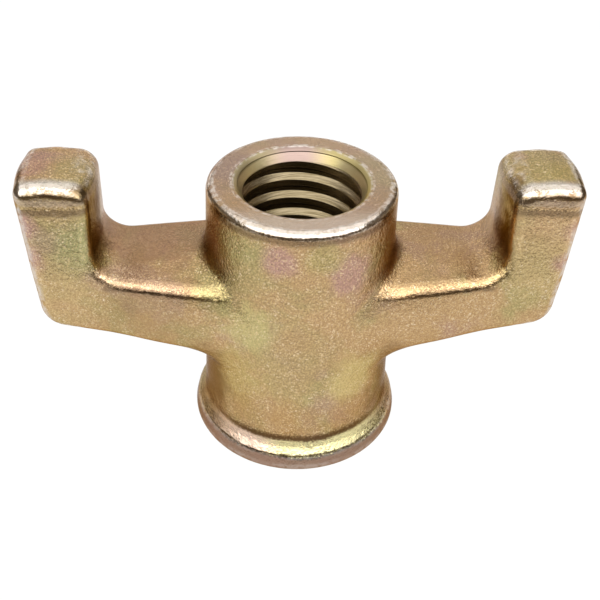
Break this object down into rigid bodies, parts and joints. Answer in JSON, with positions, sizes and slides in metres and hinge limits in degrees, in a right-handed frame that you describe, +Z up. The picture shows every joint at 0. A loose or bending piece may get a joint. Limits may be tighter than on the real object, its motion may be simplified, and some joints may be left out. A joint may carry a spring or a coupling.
{
  "type": "formwork wing nut",
  "caption": "Forged wing nut with upturned striking ears, a coarse-threaded bore and a round foot that bears on a clamping plate.",
  "frame": {"origin": "centre of the foot face on the bore axis", "axes": "+Z up the bore axis from the foot to the turned top face, +X along the line of the two ears, Y across the forging's parting plane"},
  "size_m": [0.1014, 0.0422, 0.0586],
  "materials": {
    "zinc_steel": "yellow-passivated zinc plating on forged steel, satin, with olive and mauve tints and brighter worn edges"
  },
  "bodies": {
    "root": {"wing_nut": "zinc_steel"}
  },
  "joints": []
}
